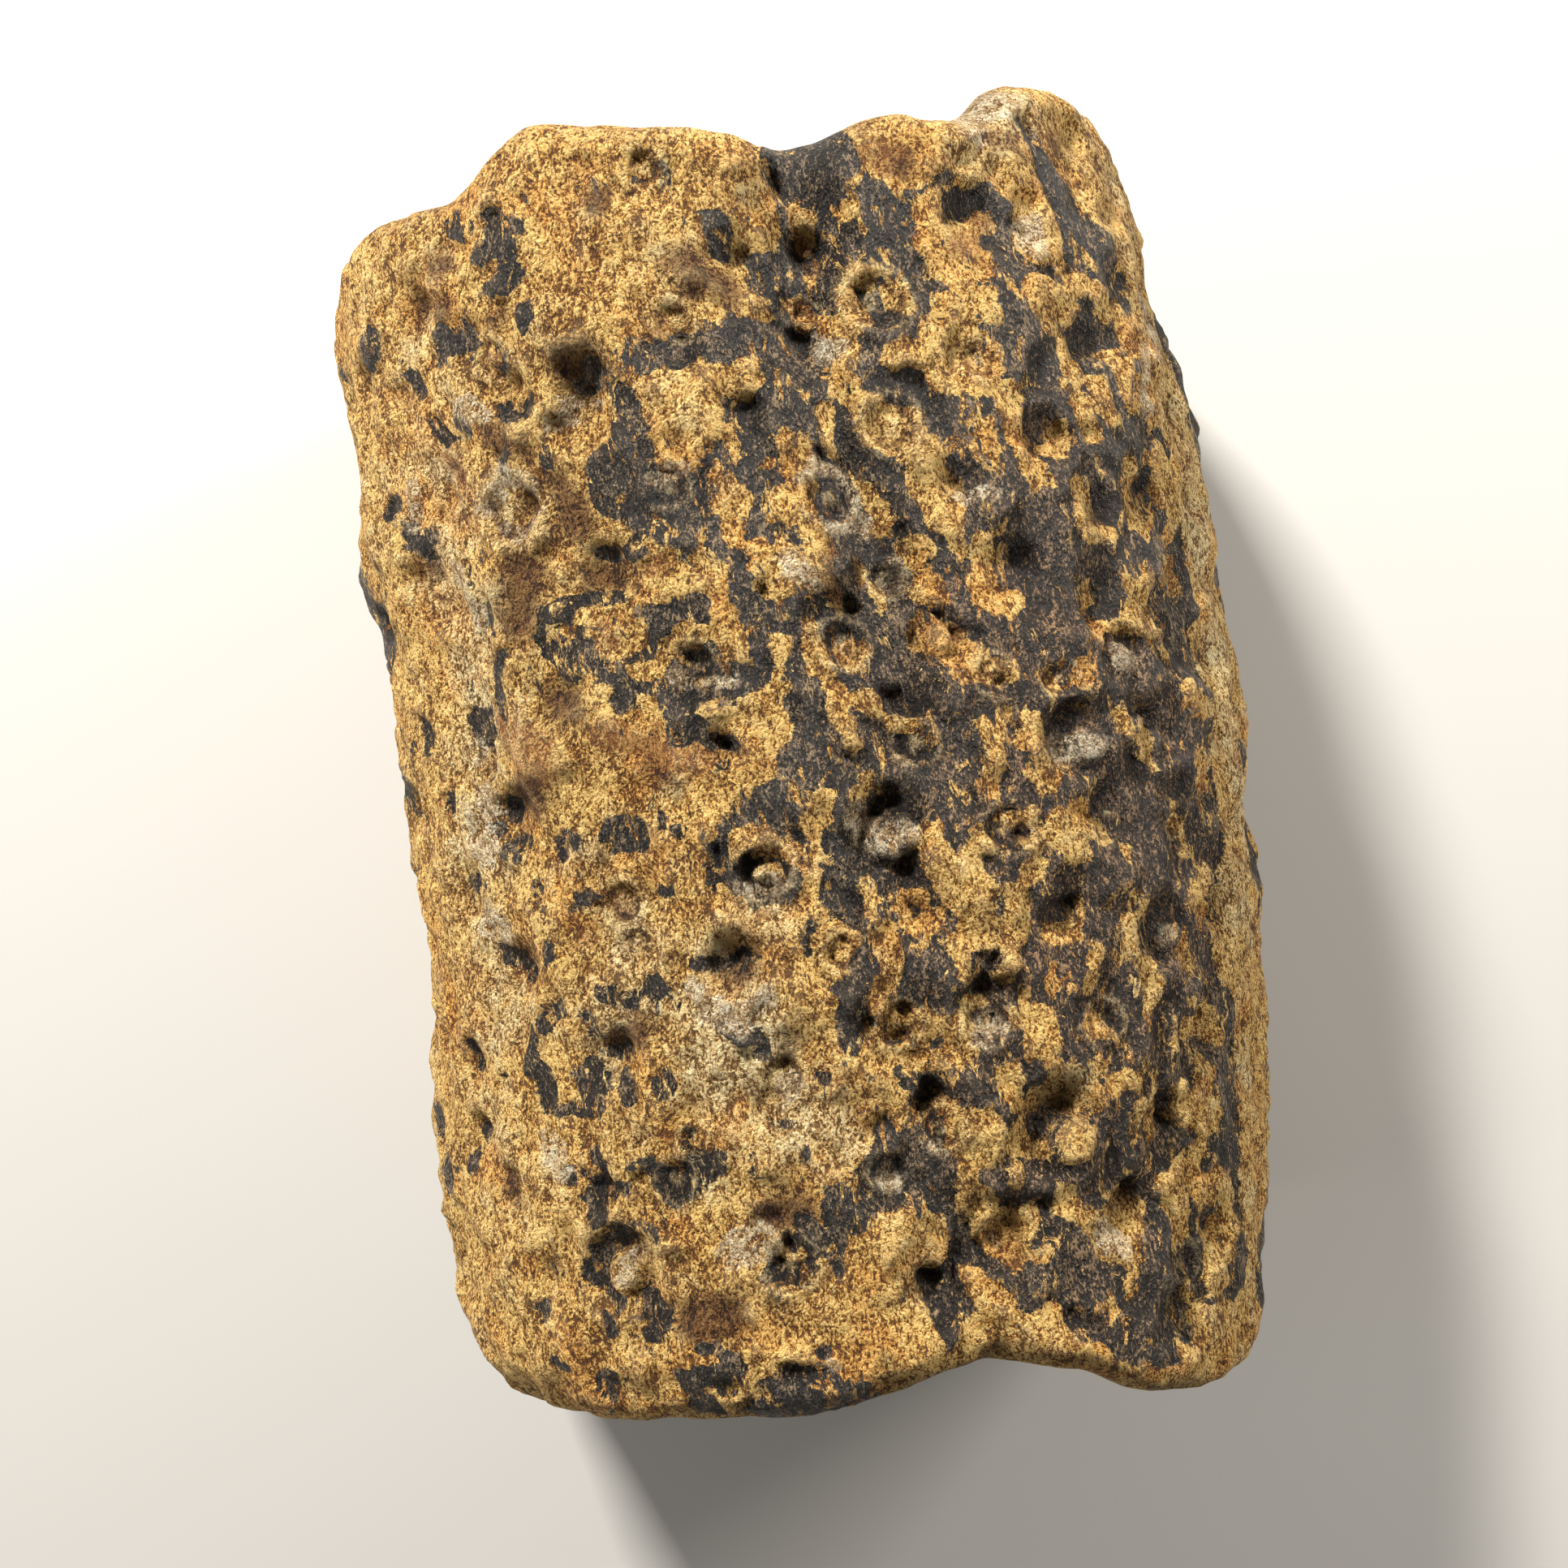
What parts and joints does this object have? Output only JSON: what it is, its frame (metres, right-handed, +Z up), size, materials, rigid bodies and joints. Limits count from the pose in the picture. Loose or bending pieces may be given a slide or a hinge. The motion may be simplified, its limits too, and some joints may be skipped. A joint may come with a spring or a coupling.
{
  "type": "fossil stigmaria root",
  "caption": "Broken length of a fossil root cast in stone, lying on its flat underside, with round rootlet scars all over and a furrow along its crest.",
  "frame": {"origin": "middle of the footprint, on the surface that the root rests on", "axes": "+Y along the root, towards the end that is at the top of the picture; +X across it, to the right in the picture; +Z up, through the scarred crest"},
  "size_m": [0.108, 0.1469, 0.066],
  "materials": {
    "ochre_stone": "dull, grainy ochre stone with patches of smoother charcoal to purple-brown skin"
  },
  "bodies": {
    "root": {"stigmaria_root_cast": "ochre_stone"}
  },
  "joints": []
}
